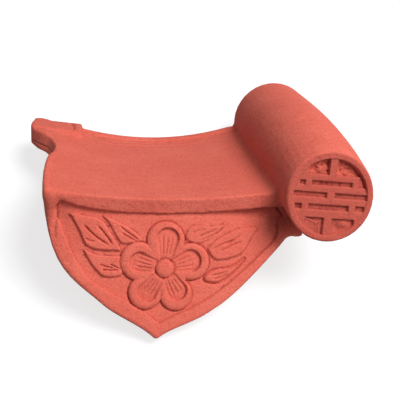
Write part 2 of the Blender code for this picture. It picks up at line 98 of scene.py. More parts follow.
def applied(piece):
    """The mesh of a piece after its modifiers."""
    ready = piece.evaluated_get(bpy.context.evaluated_depsgraph_get())
    return bpy.data.meshes.new_from_object(ready)


def with_modifier(piece, kind, **settings):
    """Puts a modifier on a piece and applies it."""
    modifier = piece.modifiers.new(kind.lower(), kind)
    for key, value in settings.items():
        setattr(modifier, key, value)
    mesh = applied(piece)
    piece.modifiers.clear()
    old, piece.data = piece.data, mesh
    bpy.data.meshes.remove(old)
    return mesh


tile = bpy.data.objects.new("fired_tile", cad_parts["tile"].data.copy())
bpy.context.scene.collection.objects.link(tile)
tile.data.transform(to_tile)
print("copy of the solid:", len(tile.data.vertices), "points")

# %% [markdown]
# In the photo the apron's right arm doesn't stop at the roundel's drum: a strip of clay goes on
# under the drum and ends in a soft hollow curve. It looks smeared on by hand. The strip is a
# small prism in the apron's plane, with its lower edge on that curve. The remesh melts whatever
# overlaps into one skin, so it only has to touch the rest.

# %% The strip under the drum
APRON_TILT = math.radians(26)
APRON_ORIGIN = np.array((0.0, 4.7, -14.3))
APRON_UP = np.array((0.0, math.sin(APRON_TILT), math.cos(APRON_TILT)))
APRON_OUT = np.array((0.0, -math.cos(APRON_TILT), math.sin(APRON_TILT)))


def off_sheet(places, origin, up, out):
    """The points of a sheet's places (right, up and out), in the tile's axes."""
    right = np.array((1.0, 0.0, 0.0))
    return origin + places[:, :1] * right + places[:, 1:2] * up + places[:, 2:] * out


SMEAR_EDGE = [(203, -36.5), (209.5, -30.8), (216.5, -25.6), (222.5, -22.6), (228, -21.8),
              (233, -22.6), (236.5, -22.0)]
SMEAR_TOP = [(238, -12), (226, -8), (208, -18)]
SMEAR_BACK = -13.5
SMEAR_FRONT = -0.4


def prism(outline, origin, up, out, back, front):
    """A closed prism that stands on a sheet between two depths."""
    flat = np.array(outline, float)
    count = len(flat)
    rows = []
    for depth in (back, front):
        rows.append(off_sheet(np.column_stack((flat, np.full(count, depth))), origin, up, out))
    faces = [list(range(count))[::-1], list(range(count, 2 * count))]
    for i in range(count):
        after = (i + 1) % count
        faces.append([i, after, count + after, count + i])
    return np.vstack(rows) * MM, faces


strip = bmesh.new()
strip.from_mesh(tile.data)
corners, faces = prism(SMEAR_EDGE + SMEAR_TOP, APRON_ORIGIN, APRON_UP, APRON_OUT,
                       SMEAR_BACK, SMEAR_FRONT)
made = [strip.verts.new(corner) for corner in corners]
new_faces = [strip.faces.new([made[i] for i in face]) for face in faces]
bmesh.ops.recalc_face_normals(strip, faces=new_faces)
strip.to_mesh(tile.data)
strip.free()
print("strip under the drum:", len(new_faces), "faces")

# %% [markdown]
# Pressed clay has no sharp edge anywhere. A voxel remesh turns the solid into an even skin of
# small squares, like a lump that was rubbed with a wet hand, and every later step can push those
# squares about. Bevelling each edge would be another way, but the joins between roll, pan and
# apron are too irregular for it. One millimetre is about one pixel of the picture, and the
# squares are a little smaller.

# %% One skin over everything
VOXEL = 0.95 * MM

with_modifier(tile, "REMESH", mode="VOXEL", voxel_size=VOXEL, adaptivity=0.0)
print("skin:", len(tile.data.vertices), "points")

# %% [markdown]
# The mesh is handled as arrays of numbers, because the same rule is applied to every point at
# once. Rubbing the clay is then one small step, repeated: each point moves part of the way to the
# middle of its neighbours.

# %% Points as arrays, and rubbing


def points_of(mesh):
    """The points of a mesh, in millimetres."""
    flat = np.empty(3 * len(mesh.vertices))
    mesh.vertices.foreach_get("co", flat)
    return flat.reshape(-1, 3) / MM


def set_points(mesh, points):
    """Moves the points of a mesh."""
    mesh.vertices.foreach_set("co", (points * MM).ravel())
    mesh.update()


def edges_of(mesh):
    """The two points of each edge of a mesh."""
    flat = np.empty(2 * len(mesh.edges), dtype=np.int64)
    mesh.edges.foreach_get("vertices", flat)
    return flat.reshape(-1, 2)


def rubbed(points, edges, share, times):
    """Points after moving towards their neighbours. The share may differ from point to point,
    and only those that move are worked out."""
    share = np.broadcast_to(share, len(points))
    live = edges[(share[edges] > 0).any(1)]
    used, local = np.unique(live, return_inverse=True)
    a, b = local.reshape(-1, 2).T
    count = np.bincount(np.concatenate((a, b)), minlength=len(used))
    near = points[used].T.copy()
    for _ in range(times):
        for k in range(3):
            total = np.bincount(a, near[k][b], len(used)) + np.bincount(b, near[k][a], len(used))
            near[k] += share[used] * (total / count - near[k])
    points = points.copy()
    points[used] = near.T
    return points


def step(start, end, value):
    """0 before start, 1 after end, and a smooth rise between them."""
    t = np.clip((value - start) / (end - start), 0, 1)
    return t * t * (3 - 2 * t)


points = points_of(tile.data)
edges = edges_of(tile.data)
print("box in the tile's axes:", points.min(0).round(1), points.max(0).round(1))

# %% [markdown]
# The whole skin is rubbed a little. The outside of the roll is rubbed much more, to melt the
# flats that a round solid made of facets has, but its front edge and its rear edge stay as crisp
# as the rest.

# %% Soft edges
SOFTEN_ALL = 3
SOFTEN_ROLL = 28
RUB_SHARE = 0.5
ROLL_MIDDLE_X = 248.4
ROLL_MIDDLE_Z = 25
ROLL_SKIN = (38, 40)
ROLL_LEFT = (192, 204)
ROLL_FRONT = (-14, -6)
ROLL_REAR = (172, 176)
ROLL_LOW = (-8, 2)

points = rubbed(points, edges, RUB_SHARE, SOFTEN_ALL)
across = np.hypot(points[:, 0] - ROLL_MIDDLE_X, points[:, 2] - ROLL_MIDDLE_Z)
outside = step(*ROLL_SKIN, across) * step(*ROLL_LEFT, points[:, 0])
lengthways = step(*ROLL_FRONT, points[:, 1]) * (1 - step(*ROLL_REAR, points[:, 1]))
lengthways = lengthways * step(*ROLL_LOW, points[:, 2])
points = rubbed(points, edges, RUB_SHARE * outside * lengthways, SOFTEN_ROLL)
print("rubbed roll points:", int((outside * lengthways > 0.5).sum()))

# %% [markdown]
# A few places are rounder than the rest, as if rubbed with a thumb: where the apron's arm runs
# under the drum, the rim's corner at the left end of the lip, and the lug. Each is given by its
# middle, its reach and how many times it is rubbed.

# %% Thumbed places
THUMB_CORE = 0.55
THUMBED = [
    ((226, -6, -30), 15, 30), ((236, -9, -31), 12, 20),
    ((3, 0, 5), 16, 80), ((4, 1, -13), 15, 40), ((4, 3, -26), 14, 20), ((17, 0, 3), 10, 26),
    ((27, 0, 1), 8, 12),
    ((-14, 178, 18), 9, 8), ((-15, 152, 16), 8, 5), ((10, 150, 17), 13, 40), ((25, 150, 15), 14, 50),
    ((37, 152, 12), 12, 50), ((40, 166, 11), 9, 30),
]

for middle, reach, times in THUMBED:
    near = step(reach, THUMB_CORE * reach, np.linalg.norm(points - np.array(middle), axis=1))
    points = rubbed(points, edges, RUB_SHARE * near, times)
print(len(THUMBED), "places thumbed")

# %% [markdown]
# A line shaped by hand is smooth and goes through a few points. Two measures say how a place
# stands to a line: how far away it is, and how far along the line its nearest point lies.
# Grooves, rims and leaves need both.

# %% Lines and distances


def distance(places, line, closed=False):
    """How far each place is from the line, and how far along the line its nearest point is, from 0 to 1."""
    ends = np.roll(line, -1, axis=0) if closed else line[1:]
    starts = line if closed else line[:-1]
    best = np.full(len(places), 1e9)
    along = np.zeros(len(places))
    for k, (a, b) in enumerate(zip(starts, ends)):
        span = b - a
        t = np.clip((places - a) @ span / max(span @ span, 1e-12), 0, 1)
        away = np.linalg.norm(places - a - t[:, None] * span, axis=1)
        nearer = away < best
        best[nearer] = away[nearer]
        along[nearer] = ((k + t) / len(starts))[nearer]
    return best, along


def curve(stops, closed=False, pieces=8):
    """A smooth line through the stops (a Catmull-Rom spline)."""
    stops = np.array(stops, float)
    if closed:
        ring = np.vstack((stops[-1:], stops, stops[:2]))
    else:
        ring = np.vstack((2 * stops[:1] - stops[1:2], stops, 2 * stops[-1:] - stops[-2:-1]))
    t = np.linspace(0, 1, pieces, endpoint=False)[:, None]
    line = []
    for a, b, c, d in zip(ring, ring[1:], ring[2:], ring[3:]):
        line.append(0.5 * (2 * b + (c - a) * t + (2 * a - 5 * b + 4 * c - d) * t**2
                           + (3 * b - a - 3 * c + d) * t**3))
    if not closed:
        line.append(stops[-1:])
    return np.vstack(line)


def along_line(line, along):
    """The points at shares of a line's length, counted in its stops."""
    stops = np.linspace(0, 1, len(line))
    return np.column_stack([np.interp(along, stops, line[:, k]) for k in range(line.shape[1])])


ring = curve([(0, 0), (1, 0), (1, 1), (0, 1)], closed=True)
print("a smooth line through four corners has", len(ring), "points")

# %% [markdown]
# The lug looks shaped by hand: its outline seen from above is a smooth curve, with a swollen rear
# corner, a hollow front corner and one straight side. The solid has short straight runs there.
# Each point near the edge is moved by the step from the straight runs to the smooth curve, less
# and less away from the edge, and less at the underside, so the lug's wall leans out towards its
# foot.

# %% The lug's outline
LUG_STRAIGHT = np.array([
    (0, 40), (0, 58.8), (4.5, 78.4), (9, 98), (5, 111), (-3.75, 124), (-12.5, 137), (-16.5, 150),
    (-16.5, 165), (-16.5, 178), (-12, 181), (-4, 181), (5, 181), (20, 181), (37, 181)], float)
LUG_CURVE = np.array([
    (0.3, 40), (0.9, 58.8), (2.8, 78.4), (7.9, 97), (8.9, 112), (4.9, 128.5), (-4.5, 138.5), (-15.2, 152.5),
    (-16.3, 165), (-14.2, 177.5), (-9.6, 184.6), (-3.2, 183.2), (5, 180.2), (20, 180.4), (37, 181)], float)
LUG_THICKNESS = 18.8
LUG_REACH = 26
LUG_FULL = 2
LUG_FOOT_SHARE = 0.42
LUG_RIGHT = 46
LUG_FRONT = 44
LUG_LOWEST = -12
LUG_HIGHEST = 30
PAN_MIDDLE_X = 107.5
PAN_HALF = 100
PAN_RIGHT = 205
PAN_LENGTH = 181
SAG_FRONT = 7.6
SAG_GROWTH = 9.8


def pan_height(x, y):
    """Height of the pan's upper face."""
    away = (np.clip(x, 0, PAN_RIGHT) - PAN_MIDDLE_X) / PAN_HALF
    return (SAG_FRONT + SAG_GROWTH * y / PAN_LENGTH) * away**2


def lug_moved(points):
    """Points near the left edge, moved to the hand-shaped outline."""
    near = (points[:, 0] < LUG_RIGHT) & (points[:, 1] > LUG_FRONT)
    near = np.flatnonzero(near & (points[:, 2] > LUG_LOWEST) & (points[:, 2] < LUG_HIGHEST))
    flat = points[near, :2]
    away, along = distance(flat, LUG_STRAIGHT)
    shift = along_line(curve(LUG_CURVE), along) - along_line(LUG_STRAIGHT, along)
    below = (pan_height(*flat.T) - points[near, 2]) / LUG_THICKNESS
    share = step(LUG_REACH, LUG_FULL, away) * (1 - (1 - LUG_FOOT_SHARE) * np.clip(below, 0, 1))
    moved = flat + share[:, None] * shift
    points = points.copy()
    points[near, 2] += pan_height(*moved.T) - pan_height(*flat.T)
    points[near, :2] = moved
    return points


points = lug_moved(points)
set_points(tile.data, points)
print("lug reaches", points[:, 0].min().round(1), "mm left of the pan's edge")

# %% [markdown]
# Two faces carry the modelling: the front of the apron and the face of the roundel. Each is
# nearly flat, so its relief is a height above a sheet, and a height is just a function of two
# numbers. For that, a point of the tile is written as right, up and out on the sheet it belongs
# to.

# %% The two sheets
DISC_TILT = math.radians(12)
DISC_ORIGIN = np.array((248.4, -26.1, 12.3))
DISC_UP = np.array((0.0, math.sin(DISC_TILT), math.cos(DISC_TILT)))
DISC_OUT = np.array((0.0, -math.cos(DISC_TILT), math.sin(DISC_TILT)))


def on_sheet(points, origin, up, out):
    """Right, up and out of each point on a sheet."""
    away = points - origin
    return np.stack((away[:, 0], away @ up, away @ out), axis=1)


print("apron leans back by", round(math.degrees(APRON_TILT), 1), "degrees")

# %% [markdown]
# The height of a rim, a leaf or a petal follows from how far a place is inside its outline. Clay
# is never quite even, so smooth random lumps are added. They come from a table with a fixed seed
# and are the same each run.

# %% Insides and lumps
TABLE_SIDE = 64


def inside(places, ring):
    """True where a place is inside a closed line."""
    odd = np.zeros(len(places), bool)
    x, y = places.T
    for a, b in zip(ring, np.roll(ring, -1, axis=0)):
        if a[1] != b[1]:
            cut = (a[1] > y) != (b[1] > y)
            odd ^= cut & (x < (b[0] - a[0]) * (y - a[1]) / (b[1] - a[1]) + a[0])
    return odd


def edge_distance(places, ring):
    """Distance to a closed line, below 0 inside it."""
    away, _ = distance(places, ring, closed=True)
    return np.where(inside(places, ring), -away, away)


def roughness_field(places, size, seed):
    """Smooth random lumps of about the given size, from -1 to 1."""
    table = np.random.default_rng(seed).uniform(-1, 1, (TABLE_SIDE, TABLE_SIDE))
    cell = np.floor(places / size).astype(int)
    t = places / size - cell
    t = t * t * (3 - 2 * t)
    x0, y0 = (cell % TABLE_SIDE).T
    x1, y1 = ((cell + 1) % TABLE_SIDE).T
    low = table[x0, y0] * (1 - t[:, 0]) + table[x1, y0] * t[:, 0]
    high = table[x0, y1] * (1 - t[:, 0]) + table[x1, y1] * t[:, 0]
    return low * (1 - t[:, 1]) + high * t[:, 1]


corner_distance = edge_distance(np.zeros((1, 2)), np.array([(-2, -2), (2, -2), (2, 2), (-2, 2)], float))
print("the middle of a square of side 4 is", -corner_distance[0], "inside its edge")

# %% [markdown]
# The apron has a plain raised rim with a sunk field inside it. The rim is broad on the left and
# narrow on the right, where it runs up under the roll. The step between them is soft, as a press
# mould would leave it.

# %% The apron's rim and field
FIELD_DEPTH = 2.6
RIM_STEP = 1.5
RIM_START = 0.3
RIM_CROWN = 0.35
RIM_CROWN_AT = 3.5
FIELD_LINE = curve([
    (11.4, 13.8), (14.2, -8.4), (22.2, -29.7), (34.7, -53.5), (50.8, -66.9), (75.4, -81.1), (89.9, -90.6),
    (100.1, -98.6), (103.2, -98.6), (119.3, -90.9), (134.5, -84.7), (157.3, -71.1), (180.7, -52.2),
    (196.2, -38), (210.5, -24.2), (213.3, -7.8), (213.2, 13.8)], True)


def rim_height(places):
    """Height of the plain rim and of the field inside it."""
    away = edge_distance(places, FIELD_LINE)
    rim = step(-RIM_STEP, RIM_START, away)
    crown = RIM_CROWN * step(RIM_START, RIM_CROWN_AT, away)
    return -FIELD_DEPTH * (1 - rim) + crown * rim


print("field line:", len(FIELD_LINE), "points")

# %% [markdown]
# The leaves spread to both sides of the flower. They look cut with a knife, in the clay or in its
# mould: each is a low swelling with a crisp contour and a few veins drawn from the flower
# outwards. A vein is a groove that starts and ends shallow, so its depth follows the distance
# along it. A leaf is given by its swell, the depth of its contour and its outline, and a vein by
# its depth, its half width and its line.

# %% Leaves
LEAVES = [
    (1.9, 1.5, [(87.2, -26.4), (69.6, -29), (62.6, -21.3), (57.3, -11.7), (50.8, -1.9), (69.7, -10.2),
                (81.3, -17.3)]),
    (2.4, 1.9, [(22.2, -0.4), (25.4, -6.8), (31.4, -18.2), (36.5, -29.2), (46.5, -33.9), (60.9, -35),
                (68.3, -34.7), (66.4, -28.5), (60.7, -19.9), (54.4, -9.7), (47, -4.4), (35, -2)]),
    (2.1, 1.8, [(34.4, -31.3), (39.4, -43.1), (46.5, -52.7), (53.2, -57.6), (65.3, -57.8), (70.9, -52.5),
                (69.2, -39.4), (59.4, -37.9), (46.6, -36.6)]),
    (1.7, 1.4, [(125.1, -24.7), (126.4, -16.5), (130.9, -12.1), (139.4, -11.3), (150.3, -12.4),
                (161.8, -10.9), (154.8, -19.8), (145.6, -26.1), (135.5, -29.9)]),
    (1.9, 1.5, [(145.1, -35.1), (148.4, -29), (156.1, -22.8), (173.4, -14.8), (193, -13.4), (185.7, -26.7),
                (179.3, -36.7), (169.2, -42), (153.1, -43.9)]),
    (1.8, 1.5, [(142.3, -58.1), (148, -53.5), (155.5, -51.2), (166.8, -49.9), (180.5, -42.2),
                (172.5, -52.1), (163.6, -59.4), (154.4, -64.1), (143.7, -62.7)]),
]
VEINS = [
    (0.9, 0.75, [(65.8, -11.9), (71.6, -16.5), (78.5, -21.6), (85.3, -26.1)]),
    (0.8, 0.75, [(67.6, -17.9), (74.5, -22.3), (82.8, -26.6)]),
    (0.5, 0.7, [(74.7, -13.1), (81.5, -18.9), (87.7, -26.6)]),
    (1.3, 0.85, [(34.4, -10.2), (39.9, -16), (46.8, -22.3), (60, -31.3)]),
    (1.3, 0.85, [(46.4, -10.9), (51.8, -17), (56.6, -23.2), (61, -29.9)]),
    (0.7, 0.8, [(36.5, -22.5), (40.3, -25.1), (45.7, -26.1)]),
    (1.0, 0.75, [(48.5, -45.5), (54.3, -47.9), (62.1, -49.3)]),
    (1.0, 0.75, [(50.4, -50.7), (58.2, -51.2), (67.5, -51.1)]),
    (0.8, 0.7, [(57.3, -45.5), (62.2, -47.9), (68.4, -51.1)]),
    (0.7, 0.8, [(136.4, -22.5), (146, -18.9), (155.6, -14.4)]),
    (0.6, 0.8, [(138.2, -26.1), (147.8, -22.3), (157, -17.5)]),
    (0.4, 0.8, [(130.1, -19.4), (137.1, -17), (145.2, -15.1)]),
    (0.8, 0.85, [(149.6, -34.2), (160.2, -28.8), (172.8, -24.7)]),
    (0.7, 0.8, [(155.8, -36.7), (167, -30.9), (179.2, -26.1)]),
    (0.6, 0.8, [(162.1, -30.4), (169.8, -25.1), (176.6, -20.8)]),
    (0.8, 0.8, [(148.2, -57.7), (156.6, -55.8), (166.1, -52.7)]),
    (0.7, 0.8, [(150, -60.2), (157.9, -59), (164.9, -55.9)]),
]
VEIN_SHARE = 1.6
VEIN_START = 0.22
VEIN_END = 0.80
LEAF_EDGE = (0.2, -2.6)
CONTOUR_AWAY = 0.3
CONTOUR_HALF = 0.85
LEAF_PIECES = 6


def groove(places, line, depth, half_width):
    """A cut along a line, with a round bottom and shallow ends."""
    away, along = distance(places, line)
    ends = step(0, VEIN_START, along) * (1 - step(VEIN_END, 1.0, along))
    return -depth * ends * np.exp(-(away / half_width) ** 2)


def leaf_height(places):
    """Height of the leaves above the field, with contours and veins."""
    height = np.zeros(len(places))
    for swell, contour, stops in LEAVES:
        away = edge_distance(places, curve(stops, True, LEAF_PIECES))
        body = swell * step(*LEAF_EDGE, away)
        cut = -contour * np.exp(-((away - CONTOUR_AWAY) / CONTOUR_HALF) ** 2)
        height = np.maximum(height, body) + cut
    for depth, half_width, stops in VEINS:
        height = height + groove(places, curve(stops), VEIN_SHARE * depth, half_width)
    return height


print(len(LEAVES), "leaves and", len(VEINS), "veins")

# %% [markdown]
# The flower is a five-petalled blossom. Around each petal runs a broad rounded band, and the
# petal itself is sunk behind it, deepest at its outer end, with fine strokes drawn towards the
# middle. It looks modelled by hand: the five petals differ in size and don't stand at equal
# angles.

# %% Flower
FLOWER_MIDDLE = np.array((106.5, -50.3))
FLOWER_RISE = 3.3
LOBES = [((107.6, -25.5), 17), ((84, -43.7), 17), ((89.4, -71), 15.0),
         ((116.5, -73.1), 14.6), ((130.4, -44.5), 16.5)]
PETALS = [((109.4, -24.2), 10), ((84.4, -44.7), 9.2), ((91, -70.5), 8.8),
          ((117.2, -69.8), 9.3), ((129.1, -43.9), 10.3)]
PETAL_SUNK = 3.1
PETAL_ROOT = 3.6
STROKES = 2.4
BOSS_RADIUS = 8.1
BOSS_RISE = 2.7
BOSS_SUNK = 1.0
FLOWER_CORE = 22
FLOWER_EDGE = (0.4, -0.4)
BAND_SHOULDER = 4.2
BAND_ROUND = 4.6
PETAL_INNER_END = 0.12
PETAL_WALL = (0.7, -0.9)
PETAL_ROOT_DEPTH = 0.30
PETAL_DEEPENS = (0.30, 0.95)
PETAL_SWELL = 0.75
SWELL_SHARE = 0.8
STROKE_DEPTH = 0.85
STROKE_SIDES = (-0.5, -2.6)
STROKE_ROOT = (0.30, 0.42)
STROKE_TIP = (0.72, 0.84)
BOSS_SQUARENESS = 2.6
TRENCH_DEPTH = 1.1
TRENCH_AWAY = 0.7
TRENCH_HALF = 1.1
AROUND_DEPTH = 0.75
AROUND_AWAY = 0.5
AROUND_HALF = 0.9


def flower_height(places):
    """Height of the flower above the field, how much of each place it covers, and the groove round it."""
    edge = np.full(len(places), 1e9)
    for middle, radius in LOBES:
        edge = np.minimum(edge, np.hypot(*(places - middle).T) - radius)
    edge = np.minimum(edge, np.hypot(*(places - FLOWER_MIDDLE).T) - FLOWER_CORE)
    cover = step(*FLOWER_EDGE, edge)
    fall = ((edge + BAND_SHOULDER) / BAND_ROUND).clip(0, 1)
    height = FLOWER_RISE * np.sqrt(np.clip(1 - fall**2, 0, 1))
    for middle, radius in PETALS:
        middle = np.array(middle)
        axis = middle - FLOWER_MIDDLE
        long = np.hypot(*axis)
        axis = axis / long
        away = places - FLOWER_MIDDLE
        t = np.clip(away @ axis / long, PETAL_INNER_END, 1)
        side = away @ np.array((-axis[1], axis[0]))
        wide = PETAL_ROOT + (radius - PETAL_ROOT) * t
        off = np.hypot(*(away - (t * long)[:, None] * axis).T) - wide
        reach = away @ axis / (long + radius)
        sunk = PETAL_ROOT_DEPTH + (1 - PETAL_ROOT_DEPTH) * step(*PETAL_DEEPENS, reach)
        hollow = step(*PETAL_WALL, off) * sunk * PETAL_SUNK
        swell = PETAL_SWELL * step(0, -radius * SWELL_SHARE, off)
        across = side / wide
        wave = 0.5 + 0.5 * np.cos(2 * math.pi * STROKES * across)
        stroke = STROKE_DEPTH * wave**3 * step(*STROKE_SIDES, off)
        stroke = stroke * step(*STROKE_ROOT, reach) * (1 - step(*STROKE_TIP, reach))
        height = height - hollow + swell - stroke
    away = np.hypot(*(places - FLOWER_MIDDLE).T)
    trench = -TRENCH_DEPTH * np.exp(-((away - BOSS_RADIUS - TRENCH_AWAY) / TRENCH_HALF) ** 2)
    round_top = np.sqrt(np.clip(1 - (away / BOSS_RADIUS) ** BOSS_SQUARENESS, 0, 1))
    dome = FLOWER_RISE - BOSS_SUNK + BOSS_RISE * round_top
    height = np.where(away < BOSS_RADIUS, np.maximum(dome, height), height + trench)
    groove_round = -AROUND_DEPTH * np.exp(-((edge - AROUND_AWAY) / AROUND_HALF) ** 2)
    return height, cover, groove_round


lobe_ends = [radius + np.hypot(*(np.array(middle) - FLOWER_MIDDLE)) for middle, radius in LOBES]
print("flower reaches", round(max(lobe_ends), 1), "mm")

# %% [markdown]
# The lip overhangs the field and is thin at its left end. Under it the field swells forward, most
# of all at the left. The apron's height is the sum of its rim and field, that swell, leaves and
# flower, and small lumps.

# %% The apron under the lip
LIP_THICKNESS = 14.3
LIP_THINNED = 0.75
LIP_THIN_REACH = 30
SLOPE_RISE = 4.4
SLOPE_REACH = 42
SLOPE_LEFT = (8, 30)
SLOPE_RIGHT = (150, 196)
CORNER_RISE = 5.6
CORNER_X = 10
CORNER_WIDE = 15
CORNER_REACH = 14
CORNER_LEFT = (-3, 8)
LEAF_FADE = (0.5, -2.0)


def lip_line(x):
    """How far up the apron's sheet the lip's underside lies."""
    thick = LIP_THICKNESS * (1 - LIP_THINNED * np.exp(-np.clip(x, 0, None) / LIP_THIN_REACH))
    return (pan_height(x, 0) - thick + LIP_THICKNESS) / math.cos(APRON_TILT)


def swell_height(places):
    """How far the field swells forward: a long slope and a short corner at the left."""
    x, v = places.T
    below = np.clip(lip_line(x) - v, 0, None)
    slope = SLOPE_RISE * (1 - step(*SLOPE_RIGHT, x)) * step(*SLOPE_LEFT, x)
    slope = slope * np.exp(-((below / SLOPE_REACH) ** 2))
    near = np.exp(-(((x - CORNER_X) / CORNER_WIDE) ** 2) - (below / CORNER_REACH) ** 2)
    return slope + CORNER_RISE * near * step(*CORNER_LEFT, x)


def apron_height(places):
    """Height of the whole front of the apron above its sheet."""
    flower, cover, around = flower_height(places)
    base = rim_height(places) + swell_height(places)
    leaves = leaf_height(places) * step(*LEAF_FADE, edge_distance(places, FIELD_LINE))
    lumps = 0.16 * roughness_field(places, 9.0, 3) + 0.10 * roughness_field(places, 3.1, 4)
    flower = np.where(cover > 0, flower, 0) * cover
    return base + leaves * (1 - cover) + around * (1 - cover) + flower + lumps


print("the lip's underside at its left end and middle:", lip_line(np.array([0.0, 100.0])).round(1), "mm up")

# %% [markdown]
# The roundel shows a lattice inside a round rim, the fretwork of a wooden window. It is easier to
# say where clay is missing than where it is: a disc, less rectangular pockets between four bars,
# one post between the middle bars and two stems. The lattice stands a few degrees off the level.
# Its upper pockets are worn and crumbled, the lower left one has a ledge in it, the lower right
# one a lump and a dent, and a crack runs along the rim. Each pocket is given by its left, right,
# lower and upper side, and each crumbled place by its strength and its fades up, sideways and
# outwards.

# %% Roundel
LATTICE_TURN = math.radians(-3.7)
RIM_INSIDE = 34.4
POCKET_DEPTH = 3.2
LATTICE_DROP = 0.7
RIM_SLOPE = 0.6
POCKET_BEVEL = 1.1
POCKET_OUTER = 0.25
CRUMBS = [(1.0, (19, 25), (6, -14), (39.5, 37)), (0.8, (18, 24), (2, 8), (36.5, 34))]
CRUMB_ROUGH = 0.34
CRUMB_SUNK = 0.15
LEDGE_RISE = 1.5
LEDGE_RIDGE = 0.6
LEDGE_RIGHT = 8.9
LEDGE_TOP = 18.6
LEDGE_SLANT = 0.36
LEDGE_LEFT = 21
LUMP = (15.6, -23.6, 4.2, 3.0, 1.6)
DENT = (8.6, -26.0, 2.6, 3.4, -1.0)
WORN_FROM = (17.5, 21)
WORN_DEPTH = 1.5
CRACK_DEPTH = 1.3
CRACK_INSIDE = 1.4
CRACK_HALF = 0.8
POCKETS = [
    (-22.0, -3.6, 19.4, 40), (3.4, 27.0, 19.0, 40), (-18.7, 19.2, 9.6, 14.4), (-29.6, -24.2, 9.6, 14.2),
    (24.8, 40, 9.4, 19.2), (-40, -3.3, -1.1, 4.3), (3.6, 40, -1.1, 4.3), (-19.6, 18.3, -12.1, -6.4),
    (-32.0, -25.4, -11.9, -6.6), (24.4, 33.0, -11.6, -6.2), (-22.0, -3.4, -40, -18.2),
    (3.9, 25.0, -40, -18.4),
]


def mound(x, y, middle_x, middle_y, half_x, half_y, rise):
    """A soft round mound, or a dent where its rise is below 0."""
    return rise * np.exp(-(((x - middle_x) / half_x) ** 2 + ((y - middle_y) / half_y) ** 2))


def disc_height(places):
    """Height of the roundel's face above its sheet."""
    cosine = math.cos(LATTICE_TURN)
    sine = math.sin(LATTICE_TURN)
    x = cosine * places[:, 0] + sine * places[:, 1]
    y = -sine * places[:, 0] + cosine * places[:, 1]
    out = np.hypot(x, y)
    hole = np.full(len(places), 1e9)
    for left, right, low, high in POCKETS:
        hole = np.minimum(hole, np.maximum.reduce((left - x, x - right, low - y, y - high)))
    hole = np.maximum(hole, out - RIM_INSIDE)
    height = -LATTICE_DROP * step(RIM_INSIDE + RIM_SLOPE, RIM_INSIDE - RIM_SLOPE, out)
    height = height - (POCKET_DEPTH - LATTICE_DROP) * step(POCKET_OUTER, -POCKET_BEVEL, hole)
    crumbs = np.zeros(len(places))
    for strength, upwards, sideways, outwards in CRUMBS:
        place = strength * step(*upwards, y) * step(*sideways, x) * step(*outwards, out)
        crumbs = np.maximum(crumbs, place)
    grit = roughness_field(places, 3.1, 6) + 0.8 * roughness_field(places + 7, 1.9, 7)
    grit = grit + 0.5 * roughness_field(places[:, ::-1], 1.1, 8)
    height = height + crumbs * (CRUMB_ROUGH * grit - CRUMB_SUNK)
    in_pocket = step(0, -1.0, hole)
    ledge = np.maximum(x + LEDGE_RIGHT, y + LEDGE_TOP + LEDGE_SLANT * (x + LEDGE_LEFT))
    ledge_edge = LEDGE_RIDGE * np.exp(-((ledge + 0.9) / 0.6) ** 2)
    height = height + step(0.5, -0.5, ledge) * (LEDGE_RISE + ledge_edge) * in_pocket
    height = height + (mound(x, y, *LUMP) + mound(x, y, *DENT)) * in_pocket
    worn = step(*WORN_FROM, y) * step(0.3, -1.2, hole)
    depth = WORN_DEPTH + 1.2 * roughness_field(places + 40, 4.6, 21)
    depth = depth + 0.7 * roughness_field(places, 2.1, 22)
    height = height - worn * depth
    from_rim = out - RIM_INSIDE + CRACK_INSIDE + 0.5 * roughness_field(places, 5, 23)
    crack = -CRACK_DEPTH * np.exp(-(from_rim / CRACK_HALF) ** 2)
    height = height + crack * step(3, 7, x) * step(0, 9, y)
    return height + 0.10 * roughness_field(places, 4.0, 9)


print(len(POCKETS), "pockets")

# %% [markdown]
# Now the relief is put on. The points of each sheet are chosen first, where the skin lies close
# to the sheet and inside its outline. Squares that matter are cut into four, so that fine lines
# have enough points. Then the chosen points are rubbed flat and lifted to their height. A
# displacement modifier would do the same with a texture, but a function of the place needs no
# texture and is exact.

# %% Choosing the points of each sheet
UNDER_LIP = 1.9
APRON_NEAR = (-4.2, 6.5)
DRUM_MIDDLE_Z = 14
DRUM_CLEAR = 43.5
INSIDE_EDGE = -2.2
CORNER_RIGHT = 12.5
CORNER_LOW = -24
CORNER_SLANT = 0.5
DISC_SUNK = 1.5
DISC_NEAR = 3
DISC_REACH = 38.8
APRON_HALF = 107.5
APRON_DEPTH = 111.0
APRON_SIDES = [
    (-1.002, 0.170), (-0.943, -0.478), (-0.777, -0.503), (-0.485, -0.756), (-0.384, -0.832),
    (-0.208, -0.905), (-0.112, -0.991), (-0.093, -1.018), (-0.064, -1.020), (-0.044, -0.991),
    (0.058, -0.926), (0.265, -0.884), (0.405, -0.787), (0.574, -0.696), (0.790, -0.494), (1.188, -0.070)]


def bezier(a, b, c, d, pieces=14):
    """A smooth line from a to d that leaves towards b and arrives from c."""
    t = np.linspace(0, 1, pieces)[:, None]
    a, b, c, d = (np.array(p, float) for p in (a, b, c, d))
    return a * (1 - t) ** 3 + 3 * b * t * (1 - t) ** 2 + 3 * c * t**2 * (1 - t) + d * t**3


outline = np.vstack([bezier(*APRON_SIDES[k:k + 4]) for k in (0, 3, 6, 9, 12)])
outline = np.stack((APRON_HALF * (1 + outline[:, 0]), APRON_DEPTH * outline[:, 1]), axis=1)
OUTLINE_TOP = [(236, 30), (0, 30)]
OUTLINE = np.vstack((outline, OUTLINE_TOP))


